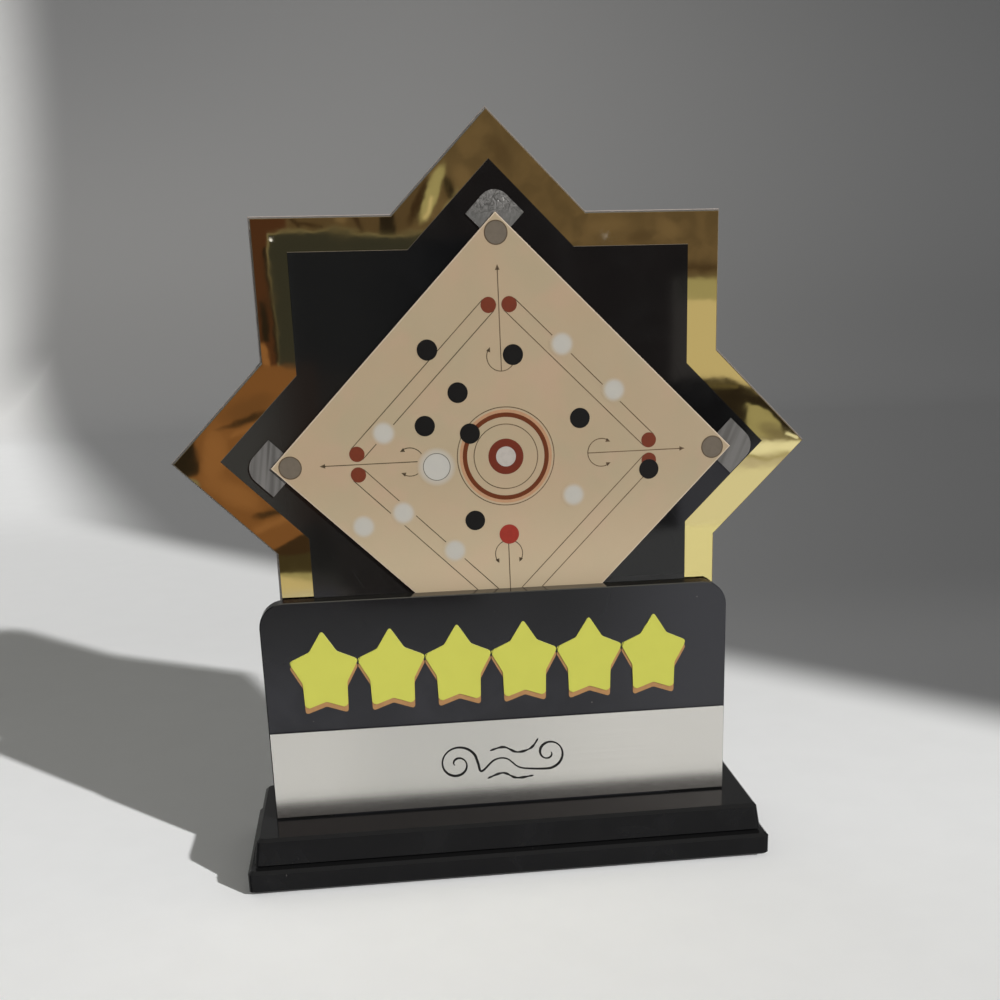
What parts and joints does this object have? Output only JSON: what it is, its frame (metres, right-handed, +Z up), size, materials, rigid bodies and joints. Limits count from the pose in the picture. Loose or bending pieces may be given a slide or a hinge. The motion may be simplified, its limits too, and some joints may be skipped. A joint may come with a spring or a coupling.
{
  "type": "award trophy",
  "caption": "Standing acrylic award trophy: gold mirror star with a black star film and a printed carrom board, a front panel and a stepped plinth.",
  "frame": {"origin": "on the floor, under the middle of the plinth, on the underside of the felt sheet", "axes": "+Z up; the front, with the panel and the board, faces -Y; +X is to the right seen from the front"},
  "size_m": [0.1772, 0.05, 0.2061],
  "materials": {
    "gloss_black": "gloss, polished",
    "gold_mirror": "mirror",
    "clear_acrylic": "clear, polished",
    "satin_silver": "satin",
    "brushed_silver": "brushed",
    "printed_board": "satin print",
    "black_felt": "felt",
    "zinc_steel": "zinc plated",
    "tape": "matt film",
    "foam": "matt foam",
    "ink_black": "satin ink",
    "ink_red": "satin ink",
    "ink_white": "satin ink",
    "ink_grey": "satin ink",
    "ink_yellow": "satin ink",
    "ink_orange": "satin ink"
  },
  "bodies": {
    "root": {"felt_sheet": "black_felt", "plinth_lower_step": "gloss_black", "plinth_upper_step": "gloss_black", "plinth_screw_1": "zinc_steel", "plinth_screw_2": "zinc_steel", "plinth_screw_3": "zinc_steel", "plinth_screw_4": "zinc_steel", "front_panel": "gloss_black", "silver_strip": "satin_silver", "clear_backing_star": "clear_acrylic", "gold_mirror_star": "gold_mirror", "black_star": "gloss_black", "board_plate": "printed_board", "corner_plate_top": "brushed_silver", "corner_plate_left": "brushed_silver", "corner_plate_right": "brushed_silver", "corner_plate_bottom": "brushed_silver", "star_tape_top": "tape", "star_tape_left": "tape", "star_tape_right": "tape", "board_tape_upper": "tape", "board_tape_lower": "tape", "panel_pad_left": "foam", "panel_pad_right": "foam"}
  },
  "joints": []
}
